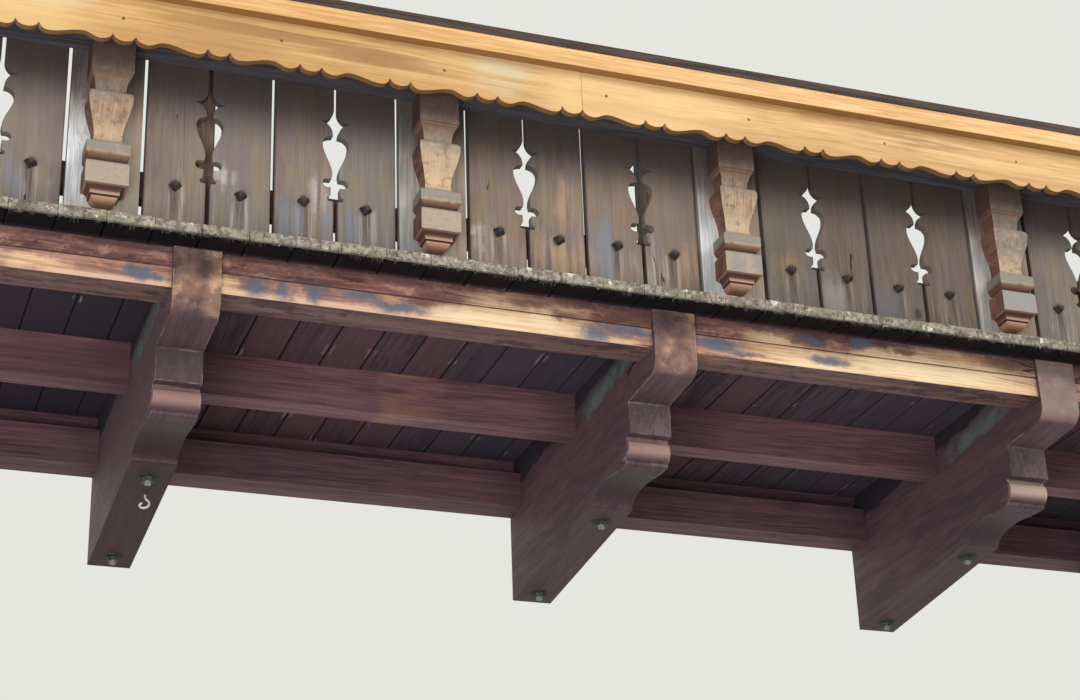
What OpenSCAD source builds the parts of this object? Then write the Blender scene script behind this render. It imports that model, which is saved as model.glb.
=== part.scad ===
// Carved timber balcony on five wall brackets, with a flower box hung along its front.
// X runs along the wall, Y points into the wall and Z points up. The origin lies on the flat wall
// face of the middle bracket, in the middle of that face.

/* [Balcony] */
// Distance from the wall to the front face of the railing boards
depth = 1465; // [1200:5:1700]
// Width of one railing bay, between the centres of two carved posts
bay_w = 1100; // [1000:10:1200]
// Offset of the middle of the railing from the middle bracket
rail_mid = -300; // [-400:10:400]

/* [Brackets] */
// Width of a bracket
bracket_w = 155; // [120:5:200]
// Height of a bracket at the wall
bracket_h = 556; // [540:2:600]
// Place of the second bracket from the left, from the middle one
bracket_left = -1640; // [-1800:10:-1400]
// Place of the fourth bracket from the left, from the middle one
bracket_right = 1507; // [1300:1:1800]
// How far the nose of a bracket stands in front of the railing boards
nose_proud = 22; // [0:1:40]
// Distance of the two outer brackets from the ends of the deck
end_inset = 5; // [0:1:60]

/* [Beams] */
// Thickness and height of the beam under the ledge
edge_beam = [120, 142]; // [80:1:180]
// Thickness and height of the joist half way back
middle_joist = [90, 160]; // [60:1:180]
// Thickness and height of the beam along the wall
wall_beam = [130, 140]; // [40:1:180]
// Drop of the wall beam below the deck boards, filled by a packing strip
wall_beam_drop = 76; // [30:1:90]

/* [Deck] */
// Thickness of a deck board
deck_t = 32; // [24:1:45]
// Pitch of the deck boards
deck_pitch = 150; // [120:5:200]
// Gap between two deck boards
deck_gap = 5; // [3:1:8]
// How far the deck boards reach past the railing boards
ledge = 126; // [100:1:160]

/* [Railing] */
// Height of the top of the handrail over the deck
rail_h = 960; // [920:10:1100]
// Thickness of a railing board
board_t = 30; // [22:1:40]
// Pitch of the pierced boards
board_w = 213; // [190:1:220]
// Gap between two railing boards
board_gap = 14; // [5:1:16]
// Side of a square railing post
post_w = 100; // [80:5:120]
// Thickness and height of a rail behind the boards
rail = [50, 100]; // [40:1:120]
// Height of the middle of the lower rail over the deck
lower_rail_z = 197; // [150:1:240]
// Width and thickness of the handrail
cap = [130, 45]; // [35:1:160]

/* [Fretwork] */
// Half width of the star
star_w = 50; // [40:1:60]
// Half width of the urn
urn_w = 45; // [35:1:60]
// Radius of a side lobe
lobe_r = 16; // [12:1:20]

/* [Carved posts] */
// Half width of a carved post
carved_w = 69; // [60:1:80]
// Depth of a carved post
carved_d = 92; // [70:1:100]

/* [Flower box] */
// Height of the box bottom over the deck
box_z = 652; // [620:1:700]
// Front face of the apron, measured from the railing boards
apron_y = 175; // [160:1:230]
// Height of the points of the scalloped edge over the deck
apron_z = 609; // [590:1:620]
// Height of the top of the box over the deck
box_top = 835; // [800:1:860]
// Thickness of the boards of the box
box_t = 25; // [18:1:30]
// Thickness and height of the strip along the top of the apron
strip = [36, 66]; // [25:1:80]
// Width and height of the rim
rim = [62, 33]; // [20:1:80]
// Width of one repeat of the scalloped edge
scallop_w = 306.6; // [280:0.1:330]
// Place of the joint in the apron, from the middle of the railing
apron_joint = -61; // [-200:1:200]

/* [Hidden] */

bays = 5;
deck_z = bracket_h / 2;
backing_w = bay_w - 4 * board_w;
half_len = (bays * bay_w + backing_w) / 2;
boards_h = rail_h - cap[1];
slit = board_gap / 2;
end_bracket_x = half_len + ledge - end_inset - bracket_w / 2;
bracket_x = [rail_mid - end_bracket_x, bracket_left, 0, bracket_right, rail_mid + end_bracket_x];
// Clear length of a side railing, from the back of the front boards to the wall
side_len = depth - board_t;
side_backing_w = (side_len - 4 * board_w) / 2;

// Points on an oval arc, from angle a0 to angle a1
function oval(c, rx, ry, a0, a1, n = 8) =
    [for (i = [0:n]) let (a = a0 + (a1 - a0) * i / n) [c[0] + rx * cos(a), c[1] + ry * sin(a)]];

// Points on a soft S between two points, level at both ends
function ease(p, q, n = 8) =
    [for (i = [0:n]) let (t = i / n) [p[0] + (q[0] - p[0]) * t, p[1] + (q[1] - p[1]) * (1 - cos(180 * t)) / 2]];

// The same S, standing upright
function ease_up(p, q, n = 8) =
    [for (i = [0:n]) let (t = i / n) [p[0] + (q[0] - p[0]) * (1 - cos(180 * t)) / 2, p[1] + (q[1] - p[1]) * t]];

function reversed(list) = [for (i = [len(list) - 1:-1:0]) list[i]];
function mirrored(list) = [for (p = reversed(list)) [-p[0], p[1]]];

// Railing frame: x from the middle of the railing, y = 0 on the boards, z = 0 on the deck boards
module at_railing() {
    translate([rail_mid, -depth, deck_z + deck_t]) children();
}

// Place of a carved post in the railing frame
function post_x(i) = (i - bays / 2) * bay_w;

// A flat outline in X and Z, made into a board that reaches back from y = 0
module board_from(outline_t) {
    translate([0, outline_t, 0]) rotate([90, 0, 0]) linear_extrude(outline_t) children();
}

// An outline in Y and Z, run along X
module run_along(length) {
    rotate([90, 0, 90]) linear_extrude(length) children();
}

// Brackets

// Side outline of a bracket: x from the tip of the nose towards the wall, y down from the deck
module bracket_outline() {
    nose = [52, -178];
    step = [250, -239];
    fillet_r = 5;
    groove_z = -356;
    groove_depth = 36;
    roll = [310, -401];
    roll_r = 41;
    band = [300, -453];
    band_r = 10;
    cove = [508, -438];
    heel = [630, -483];
    wall_x = depth + nose_proud;
    polygon(concat(
        [[0, 0]],
        oval(nose, nose[0], nose[0], 180, 270),
        oval(step - [fillet_r, fillet_r], fillet_r, fillet_r, 90, 0, 4),
        [[step[0], groove_z], [step[0] + groove_depth, groove_z]],
        oval(roll, roll_r, roll_r, 125, 253, 14),
        [[band[0], roll[1] - roll_r]],
        oval(band + [band_r, band_r], band_r, band_r, 180, 270, 4),
        ease(band + [2 * band_r, 0], cove, 6),
        oval([cove[0], heel[1]], heel[0] - cove[0], cove[1] - heel[1], 85, 0),
        [heel + [5, -4], [wall_x, -bracket_h], [wall_x, 0]]
    ));
}

module bracket(x) {
    color("#5c3f38")
    translate([x - bracket_w / 2, -depth - nose_proud, deck_z])
    run_along(bracket_w) bracket_outline();
}

// Beams between the brackets

// One length of a beam in each space between two brackets
module between_brackets() {
    for (i = [0:len(bracket_x) - 2]) {
        x0 = bracket_x[i] + bracket_w / 2;
        translate([x0, 0, deck_z])
        run_along(bracket_x[i + 1] - bracket_w / 2 - x0) children();
    }
}

// The edge beam is two timbers high, with an open joint along its face
module edge_beam() {
    joint = [6, 5];
    setback = 8;
    y0 = -depth - setback;
    color("#7a4a3c")
    between_brackets()
    difference() {
        translate([y0, -edge_beam[1]]) square(edge_beam);
        translate([y0 - 1, -edge_beam[1] / 2]) square([joint[0] + 1, joint[1]]);
    }
}

module middle_joist() {
    setback = 725;
    color("#5e3c38")
    between_brackets()
    translate([setback - depth, -middle_joist[1]]) square(middle_joist);
}

module wall_beam() {
    color("#4a2f30")
    between_brackets()
    translate([-wall_beam[0], -wall_beam_drop - wall_beam[1]]) square(wall_beam);
}

// The strip that carries the ends of the deck boards on the wall beam, set back from its face
module wall_packing() {
    packing_w = 60;
    color("#3c2829")
    between_brackets()
    translate([-packing_w, -wall_beam_drop]) square([packing_w, wall_beam_drop]);
}

// Deck

module deck_boards() {
    deck_len = 2 * (half_len + ledge);
    count = floor(deck_len / deck_pitch + 0.5);
    pitch = deck_len / count;
    color("#6e675e")
    for (i = [0:count - 1]) {
        translate([rail_mid - deck_len / 2 + i * pitch + deck_gap / 2, -depth - ledge, deck_z])
        cube([pitch - deck_gap, depth + ledge, deck_t]);
    }
}

// Railing frame

// Plan places of the posts: one at each corner, one over each bracket between the corners, and a
// half post at the wall on each side
corner_x = half_len - board_t - post_w / 2;
front_post_x = [-corner_x, bracket_left - rail_mid, -rail_mid, bracket_right - rail_mid, corner_x];
wall_post_d = 60;
posts_top = rail_h - cap[1];

module railing_posts() {
    color("#5a4a40")
    at_railing() {
        for (x = front_post_x) {
            translate([x - post_w / 2, board_t, 0]) cube([post_w, post_w, posts_top]);
        }
        for (x = [-corner_x, corner_x]) {
            translate([x - post_w / 2, depth - wall_post_d, 0]) cube([post_w, wall_post_d, posts_top]);
        }
    }
}

// One length of rail between each two posts, with its lower face at height z
module rails(z) {
    side_run = depth - wall_post_d - board_t - post_w;
    color("#5f4d42")
    at_railing() translate([0, 0, z]) {
        for (i = [0:len(front_post_x) - 2]) {
            x0 = front_post_x[i] + post_w / 2;
            translate([x0, board_t, 0]) cube([front_post_x[i + 1] - post_w / 2 - x0, rail[0], rail[1]]);
        }
        for (x = [board_t - half_len, half_len - board_t - rail[0]]) {
            translate([x, board_t + post_w, 0]) cube([rail[0], side_run, rail[1]]);
        }
    }
}

module lower_rails() {
    rails(lower_rail_z - rail[1] / 2);
}

module upper_rails() {
    rails(posts_top - rail[1]);
}

// The handrail overhangs the boards a little and is mitred at the corners
cap_proud = 12;
cap_outer = half_len + cap_proud;
cap_inner = cap_outer - cap[0];

module handrail_front() {
    color("#54433a")
    at_railing() translate([0, 0, posts_top])
    linear_extrude(cap[1])
    polygon([
        [-cap_outer, -cap_proud], [cap_outer, -cap_proud],
        [cap_inner, cap[0] - cap_proud], [-cap_inner, cap[0] - cap_proud]
    ]);
}

module handrail_side(side) {
    color("#54433a")
    at_railing() translate([0, 0, posts_top])
    linear_extrude(cap[1])
    polygon([
        [side * cap_outer, -cap_proud], [side * cap_outer, depth],
        [side * cap_inner, depth], [side * cap_inner, cap[0] - cap_proud]
    ]);
}

// Pierced boards

// Right half of the cut-out, from its top down: star, urn, lobe and bell
function fretwork_half() = concat(
    oval([star_w, 572], star_w - slit, 47, 180, 270),
    oval([star_w, 474], star_w - 10, 48, 90, 180),
    oval([10, 440], urn_w - 10, 30, 90, 0, 6),
    ease_up([urn_w, 440], [11, 322], 9),
    [[14, 289 + lobe_r]],
    oval([44 - lobe_r, 289], lobe_r, lobe_r, 90, -90),
    [[16, 289 - lobe_r]],
    oval([28, 252], 12, 18, 180, 270, 5),
    [[25, 222], [slit, 221]]
);

// Two boards that mirror each other, with the cut-out between them
module board_pair() {
    half = fretwork_half();
    board_from(board_t)
    difference() {
        for (x = [slit - board_w, slit]) {
            translate([x, 0]) square([board_w - board_gap, boards_h]);
        }
        polygon(concat(half, mirrored(half)));
    }
}

// The four boards between two carved posts, from the left edge of the first
module four_boards() {
    for (k = [1, 3]) {
        translate([k * board_w, 0, 0]) board_pair();
    }
}

module pierced_boards(bay) {
    color("#776b60")
    at_railing() translate([post_x(bay - 1) + backing_w / 2, 0, 0]) four_boards();
}

module backing_boards() {
    color("#8b8379")
    at_railing()
    for (i = [0:bays]) {
        translate([post_x(i) - backing_w / 2 + slit, 0, 0]) cube([backing_w - board_gap, board_t, boards_h]);
    }
}

// Carved half-posts

// Half outline of a carved post from the tip of the drop up to height top: a round drop, a fillet, a hollow
// under the block, a cove, a torus, the vase and its neck
function carved_half(top) = concat(
    [for (i = [0:6]) let (a = 15 * i) [42 * pow(sin(a), 1.2), 91 - 25 * cos(a)]],
    [[42, 94], [47, 95], [47, 101]],
    oval([carved_w - 3, 102], carved_w - 3 - 47.5, 17, 180, 90, 6),
    [[carved_w, 119], [carved_w, 186]],
    oval([carved_w - 14, 186], 14, 19, 0, 90, 5),
    [[carved_w - 15, 209]],
    oval([carved_w - 13, 236], 14, 25, -90, 0, 5),
    [[carved_w + 1, 267]],
    oval([carved_w, 302], 24, 35, -90, -180, 5),
    ease_up([carved_w - 24, 303], [carved_w + 2, 436], 8),
    oval([carved_w - 19, 438], 21, 27, 0, 80, 6),
    oval([carved_w, 468], 20, 58, 180, 100, 7),
    [[carved_w - 4, 531], [carved_w, 534], [carved_w, top]]
);

// The front outline and the side outline cut the same block, so the mouldings meet in mitres
module carved_post(top) {
    half = carved_half(top);
    side = [for (p = half) [-p[0] * carved_d / carved_w, p[1]]];
    color("#9a7a5e")
    intersection() {
        rotate([90, 0, 0]) linear_extrude(1.1 * carved_d)
        polygon(concat(half, mirrored(half)));
        translate([-1.1 * carved_w, 0, 0]) run_along(2.2 * carved_w)
        polygon(concat(side, [[0, top]]));
    }
}

module front_post(i) {
    at_railing() translate([post_x(i - 1), 0, 0]) carved_post(box_z);
}

// Side railings

// Puts what is drawn along the front of a railing onto a side of the balcony, starting at the corner.
// On the left the run is drawn from the wall to the corner, on the right from the corner to the wall.
module on_side(side) {
    at_railing()
    if (side < 0) {
        translate([-half_len, depth, 0]) rotate([0, 0, -90]) children();
    } else {
        translate([half_len, board_t, 0]) rotate([0, 0, 90]) children();
    }
}

module side_boards(side) {
    color("#776b60")
    on_side(side) translate([side_backing_w, 0, 0]) four_boards();
}

module side_backing(side) {
    color("#8b8379")
    on_side(side)
    for (x = [0, side_len - side_backing_w]) {
        translate([x + slit, 0, 0]) cube([side_backing_w - board_gap, board_t, boards_h]);
    }
}

module side_posts(side) {
    side_post_top = boards_h - 30;
    on_side(side)
    for (x = [side_backing_w / 2, side_len - side_backing_w / 2]) {
        translate([x, 0, 0]) carved_post(side_post_top);
    }
}

// Flower box

lobe_w = 74;
ogee_w = scallop_w - lobe_w;

// The points between two lobes stand this much above the ends of the curves
point_h = 9;

// A small lobe between two points of the scalloped edge
function lobe(x) = [for (i = [0:7]) [x + lobe_w * i / 8, point_h - (12.5 + point_h) * sqrt(sin(180 * i / 8))]];

// A long wave, slow on its left and steep on its right
function ogee_at(x) = concat(
    [for (i = [0:4]) [x + 0.13 * ogee_w * i / 5, point_h - (16 + point_h) * sqrt(sin(90 * i / 5))]],
    ease([x + 0.13 * ogee_w, -16], [x + 0.6 * ogee_w, 4], 7),
    ease([x + 0.6 * ogee_w, 4], [x + 0.83 * ogee_w, -14], 5),
    [for (i = [1:5]) [x + (0.83 + 0.17 * i / 5) * ogee_w, point_h - (14 + point_h) * sqrt(cos(90 * i / 5))]]
);

// The same wave turned round
function ogee_back(x) = [for (p = reversed(ogee_at(0))) [x + ogee_w - p[0], p[1]]];

// The scalloped edge of one apron board, which starts at its joint and runs to the right.
// Waves that are slow on the left and waves that are slow on the right take turns.
module apron_board(length, lobe_first, first_back) {
    units = ceil(length / scallop_w);
    edge = [for (k = [0:units - 1]) each
        let (x = k * scallop_w, wave_x = x + (lobe_first ? lobe_w : 0))
        let (wave = (k % 2 == 0) == first_back ? ogee_back(wave_x) : ogee_at(wave_x))
        lobe_first ? concat(lobe(x), wave) : concat(wave, lobe(x + ogee_w))
    ];
    board_h = box_top - apron_z;
    board_from(box_t)
    intersection() {
        polygon(concat([[0, board_h]], edge, [[units * scallop_w, 0], [units * scallop_w, board_h]]));
        translate([0, -scallop_w]) square([length, scallop_w + board_h]);
    }
}

module apron_left() {
    color("#c9964f")
    at_railing() translate([apron_joint - 1, -apron_y, apron_z])
    mirror([1, 0, 0]) apron_board(half_len + apron_joint - 1, true, false);
}

module apron_right() {
    color("#c9964f")
    at_railing() translate([apron_joint, -apron_y, apron_z])
    apron_board(half_len - apron_joint, false, true);
}

module box_strip() {
    color("#d3a059")
    at_railing() translate([-half_len, -apron_y - strip[0], box_top - strip[1]])
    cube([2 * half_len, strip[0], strip[1]]);
}

module box_bottom() {
    color("#4b4a4c")
    at_railing() translate([-half_len + box_t, -apron_y + box_t, box_z])
    cube([2 * (half_len - box_t), apron_y - box_t, box_t]);
}

module box_back() {
    color("#8a6a45")
    at_railing() translate([-half_len + box_t, -box_t, box_z + box_t])
    cube([2 * (half_len - box_t), box_t, box_top - box_z - box_t]);
}

module box_ends() {
    color("#bf8d4b")
    at_railing()
    for (x = [-half_len, half_len - box_t]) {
        translate([x, -apron_y + box_t, apron_z]) cube([box_t, apron_y - box_t, box_top - apron_z]);
    }
}

// The rim lies on the top edges of the box and leaves the trough open
module box_rim() {
    outer = [2 * half_len + 6, apron_y + strip[0] + 3];
    front_w = rim[0];
    back_w = box_t + 4;
    color("#33241f")
    at_railing() translate([-outer[0] / 2, -outer[1], box_top])
    difference() {
        cube([outer[0], outer[1], rim[1]]);
        translate([back_w, front_w, -1]) cube([outer[0] - 2 * back_w, outer[1] - front_w - back_w, rim[1] + 2]);
    }
}

bracket(bracket_x[0]);  // bracket_1
bracket(bracket_x[1]);  // bracket_2
bracket(bracket_x[2]);  // bracket_3
bracket(bracket_x[3]);  // bracket_4
bracket(bracket_x[4]);  // bracket_5
edge_beam();
middle_joist();
wall_beam();
wall_packing();
deck_boards();
railing_posts();
lower_rails();
upper_rails();
handrail_front();
handrail_side(-1);  // handrail_left
handrail_side(1);  // handrail_right
pierced_boards(1);  // pierced_boards_1
pierced_boards(2);  // pierced_boards_2
pierced_boards(3);  // pierced_boards_3
pierced_boards(4);  // pierced_boards_4
pierced_boards(5);  // pierced_boards_5
backing_boards();
front_post(1);  // carved_post_1
front_post(2);  // carved_post_2
front_post(3);  // carved_post_3
front_post(4);  // carved_post_4
front_post(5);  // carved_post_5
front_post(6);  // carved_post_6
side_boards(-1);  // side_boards_left
side_boards(1);  // side_boards_right
side_backing(-1);  // side_backing_left
side_backing(1);  // side_backing_right
side_posts(-1);  // side_posts_left
side_posts(1);  // side_posts_right
apron_left();
apron_right();
box_strip();
box_bottom();
box_back();
box_ends();
box_rim();
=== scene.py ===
import math
import random
from types import SimpleNamespace

import bmesh
import bpy
from mathutils import Matrix, Vector, noise


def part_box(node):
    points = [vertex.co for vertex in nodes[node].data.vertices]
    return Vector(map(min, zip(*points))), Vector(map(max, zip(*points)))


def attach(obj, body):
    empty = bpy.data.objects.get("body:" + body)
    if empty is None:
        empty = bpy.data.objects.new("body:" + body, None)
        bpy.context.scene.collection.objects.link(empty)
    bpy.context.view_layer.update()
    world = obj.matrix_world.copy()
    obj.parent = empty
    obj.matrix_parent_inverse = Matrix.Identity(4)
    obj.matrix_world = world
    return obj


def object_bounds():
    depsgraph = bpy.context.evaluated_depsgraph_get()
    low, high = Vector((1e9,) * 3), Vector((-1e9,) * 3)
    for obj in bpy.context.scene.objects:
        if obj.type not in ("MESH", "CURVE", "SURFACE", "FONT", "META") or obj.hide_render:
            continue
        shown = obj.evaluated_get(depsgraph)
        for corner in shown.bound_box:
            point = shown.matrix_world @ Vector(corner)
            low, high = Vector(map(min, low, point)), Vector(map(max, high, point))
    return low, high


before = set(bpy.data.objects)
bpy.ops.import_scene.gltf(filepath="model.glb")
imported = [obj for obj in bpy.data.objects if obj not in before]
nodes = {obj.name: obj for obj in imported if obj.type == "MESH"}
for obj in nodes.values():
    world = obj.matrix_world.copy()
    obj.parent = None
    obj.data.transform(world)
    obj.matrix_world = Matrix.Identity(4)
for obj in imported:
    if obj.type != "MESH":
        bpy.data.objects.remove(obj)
cad_box = [list(corner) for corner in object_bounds()]
scene = bpy.context.scene


# Camera
# It stands in front of the left half of the balcony, well below its deck, and looks up along the railing.
# The lens gives the narrow view of the photograph.
def look_from(place, yaw, pitch, roll):
    """A camera's place and turn, in degrees: yaw to the right of +Y, pitch upwards, roll about the view."""
    yaw, pitch, roll = math.radians(yaw), math.radians(pitch), math.radians(roll)
    ahead = Vector((math.sin(yaw) * math.cos(pitch), math.cos(yaw) * math.cos(pitch), math.sin(pitch)))
    level = Vector((math.cos(yaw), -math.sin(yaw), 0.0))
    upright = level.cross(ahead)
    right = level * math.cos(roll) + upright * math.sin(roll)
    above = upright * math.cos(roll) - level * math.sin(roll)
    turn = Matrix((right, above, -ahead)).transposed().to_4x4()
    return Matrix.Translation(place) @ turn


camera_data = bpy.data.cameras.new("camera")
camera_data.sensor_width = 36.0
camera_data.lens = 72.66
camera = bpy.data.objects.new("camera", camera_data)
scene.collection.objects.link(camera)
camera.matrix_world = look_from(place=(-2.8155, -7.5847, -2.9867), yaw=20.8535, pitch=25.0952, roll=-2.1396)
scene.camera = camera
scene.view_settings.view_transform = "Standard"


# Studio
# A pale floor lies far below the balcony. A large soft lamp high on the right gives the daylight, and a wide
# fainter one low on the left lights the undersides. The world adds plain soft light from all sides.
def linear(code):
    """An sRGB hex colour as linear red, green, blue and alpha."""
    parts = [int(code[i:i + 2], 16) / 255 for i in (1, 3, 5)]
    return tuple(c / 12.92 if c <= 0.04045 else ((c + 0.055) / 1.055) ** 2.4 for c in parts) + (1.0,)


def add(tree, kind, inputs=(), out=0, **settings):
    """Adds one node with its settings and inputs (sockets, values or hex colours), and gives one output."""
    node = tree.nodes.new("ShaderNode" + kind)
    for name, value in settings.items():
        setattr(node, name, value)
    for name, value in dict(inputs).items():
        if isinstance(value, bpy.types.NodeSocket):
            tree.links.new(value, node.inputs[name])
        else:
            node.inputs[name].default_value = linear(value) if isinstance(value, str) else value
    return node.outputs[out] if node.outputs else None


def blank(name):
    """A new material with nothing in its node tree."""
    material = bpy.data.materials.new(name)
    material.use_nodes = True
    material.node_tree.nodes.clear()
    return material


def keep(bm, name, material, slot=None):
    """Makes an object of a finished bmesh. With a slot it is part of the balcony, and rides on its body."""
    bmesh.ops.recalc_face_normals(bm, faces=bm.faces)
    mesh = bpy.data.meshes.new(name)
    bm.to_mesh(mesh)
    bm.free()
    mesh.materials.append(material)
    piece = bpy.data.objects.new(name, mesh)
    scene.collection.objects.link(piece)
    if slot:
        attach(piece, "root")
    return piece


def lamp(name, place, target, size, watts, colour):
    """A large square soft lamp that points at a target."""
    data = bpy.data.lights.new(name, "AREA")
    data.shape = "SQUARE"
    data.size = size
    data.energy = watts
    data.color = linear(colour)[:3]
    light = bpy.data.objects.new(name, data)
    scene.collection.objects.link(light)
    light.location = place
    light.rotation_mode = "QUATERNION"
    light.rotation_quaternion = (Vector(target) - Vector(place)).to_track_quat("-Z", "Y")


middle_x = (cad_box[0][0] + cad_box[1][0]) / 2
floor_z, floor_r = -6.3, 8.0
floor_paint = blank("pale_floor")
matt = add(floor_paint.node_tree, "BsdfDiffuse", {"Color": "#c9c9c4"})
add(floor_paint.node_tree, "OutputMaterial", {"Surface": matt})
bm = bmesh.new()
bmesh.ops.create_circle(bm, cap_ends=True, segments=96, radius=floor_r)
bmesh.ops.translate(bm, verts=bm.verts, vec=(middle_x, -2.0, floor_z))
keep(bm, "floor", floor_paint)

world = bpy.data.worlds.new("soft_daylight")
scene.world = world
world.use_nodes = True
tree = world.node_tree
tree.nodes.clear()
ray = add(tree, "LightPath").node.outputs
seen = add(tree, "Math", {0: ray["Is Camera Ray"], 1: ray["Is Transmission Ray"]}, operation="MAXIMUM")
seen = add(tree, "Math", {0: seen, 1: ray["Is Glossy Ray"]}, operation="MAXIMUM")
daylight = add(tree, "Background", {"Color": "#f2f4f6", "Strength": 0.62})
backdrop = add(tree, "Background", {"Color": "#e6e6e1", "Strength": 1.0})
both = add(tree, "MixShader", {0: seen, 1: daylight, 2: backdrop})
add(tree, "OutputWorld", {"Surface": both})

lamp("high_lamp", (5.5, -9.5, 6.0), target=(middle_x, -1.2, 0.5), size=5.0, watts=680.0, colour="#fff8ee")
lamp("low_lamp", (-4.8, -6.8, -3.5), target=(middle_x, -0.6, 0.0), size=4.6, watts=345.0, colour="#f6f0f4")


# Brackets
# Five consoles sawn from solid spruce and stained dark red-brown. The stain is worn to bare wood on the
# noses, the rolls and the sharp edges, and each side has long drying cracks.
deck_low, deck_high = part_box("deck_boards")
deck_top = deck_high.z

# Longer than any board or row of boards.
endless = 100.0


def number_boards(wood, axis, start, pitch, row):
    """Tells the boards of a row apart, so that each has its own tone (chance, warmth) and its own grain.

    across runs from 0 to 1 over a board, and edge from 0 in its middle to 0.5 at its sides.
    """
    tree = wood.tree
    passed = add(tree, "Math", {0: getattr(wood, axis), 1: start}, operation="SUBTRACT")
    in_row = add(tree, "Math", {0: passed, 1: row}, operation="FLOORED_MODULO")
    rows = add(tree, "Math", {0: passed, 1: in_row}, operation="SUBTRACT")
    place_in_row = add(tree, "Math", {0: in_row, 1: pitch}, operation="DIVIDE")
    number = add(tree, "Math", {0: place_in_row}, operation="FLOOR")
    wood.across = add(tree, "Math", {0: place_in_row}, operation="FRACT")
    off_middle = add(tree, "Math", {0: wood.across, 1: 0.5}, operation="SUBTRACT")
    wood.edge = add(tree, "Math", {0: off_middle}, operation="ABSOLUTE")
    seed = add(tree, "Math", {0: rows, 1: 7.3, 2: number}, operation="MULTIPLY_ADD")
    draw = add(tree, "TexWhiteNoise", {"W": seed}, "Color", noise_dimensions="1D")
    wood.chance, wood.warmth, _ = add(tree, "SeparateColor", {0: draw}).node.outputs
    wood.own = add(tree, "VectorMath", {0: draw, 1: (7.0, 7.0, 7.0), 2: wood.place}, operation="MULTIPLY_ADD")


def grow(wood, lengthways, figure, sheets):
    """Knots, and fibres, streaks and yearly rings that swerve round them, all drawn out along the timber.

    The fibres are drawn 6 mm wide, as real ones are too fine to show.
    """
    fibre_mm, streak_mm, ring_mm, knot_mm = 6.0, 28.0, 90.0, 240.0
    tree = wood.tree
    knot_shape, fibre_shape = [1.0] * 3, [1.0] * 3
    knot_shape[lengthways], fibre_shape[lengthways] = 1 / 1.5, 1 / 32
    fibre_shape["XYZ".index(sheets[0])] *= sheets[1]
    cells = add(tree, "VectorMath", {0: wood.own, 1: knot_shape}, operation="MULTIPLY")
    knot = add(tree, "TexVoronoi", {"Vector": cells, "Scale": 1000 / knot_mm}, "Distance")
    lot = add(tree, "SeparateColor", {0: knot.node.outputs["Color"]})
    here = add(tree, "Math", {0: lot, 1: 0.6}, operation="GREATER_THAN")
    wood.knot = add(tree, "MapRange", {
        "Value": knot, "From Min": 0.04, "From Max": 0.07, "To Min": here, "To Max": 0.0})
    swerve = add(tree, "Math", {0: here, 1: 0.014}, operation="MULTIPLY")
    swerve = add(tree, "MapRange", {
        "Value": knot, "From Min": 0.04, "From Max": 0.36, "To Min": swerve, "To Max": 0.0},
        interpolation_type="SMOOTHERSTEP")
    drift = add(tree, "TexNoise", {"Vector": wood.own, "Scale": 1.2, "Detail": 1.0})
    drift = add(tree, "Math", {0: drift, 1: 0.04, 2: swerve}, operation="MULTIPLY_ADD")
    run = add(tree, "VectorMath", {0: wood.own, 1: drift}, operation="ADD")
    wood.run = add(tree, "VectorMath", {0: run, 1: fibre_shape}, operation="MULTIPLY")
    wood.fibre = add(tree, "TexNoise", {
        "Vector": wood.run, "Scale": 1000 / fibre_mm, "Detail": 2.0, "Roughness": 0.6})
    wood.streak = add(tree, "TexNoise", {"Vector": wood.run, "Scale": 1000 / streak_mm, "Detail": 3.0})
    rings = add(tree, "TexNoise", {"Vector": wood.run, "Scale": 1000 / ring_mm, "Detail": 1.0})
    rings = add(tree, "Math", {0: rings, 1: 44.0}, operation="MULTIPLY")
    rings = add(tree, "Math", {0: rings}, operation="SINE")
    rings = add(tree, "MapRange", {"Value": rings, "From Min": -1.0})
    grain = add(tree, "Mix", {0: 0.4, 2: wood.fibre, 3: wood.streak})
    grain = add(tree, "MapRange", {"Value": grain, "From Min": 0.3, "From Max": 0.7})
    wood.grain = add(tree, "Mix", {0: figure, 2: grain, 3: rings})


def dry_out(wood, width):
    """Drying cracks along the fibres, in some stretches of the timber. A width of 0 leaves them out."""
    crack_mm = 110.0
    tree = wood.tree
    split = add(tree, "TexNoise", {"Vector": wood.run, "Scale": 1000 / crack_mm, "Detail": 3.0})
    split = add(tree, "Math", {0: split, 1: 0.5}, operation="SUBTRACT")
    split = add(tree, "Math", {0: split}, operation="ABSOLUTE")
    dry = add(tree, "TexNoise", {"Vector": wood.own, "Scale": 2.9, "Detail": 1.0})
    open_by = add(tree, "MapRange", {
        "Value": dry, "From Min": 0.56, "From Max": 0.7, "To Max": 0.007 * width})
    wood.crack = add(tree, "Math", {0: split, 1: open_by}, operation="LESS_THAN")


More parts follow.
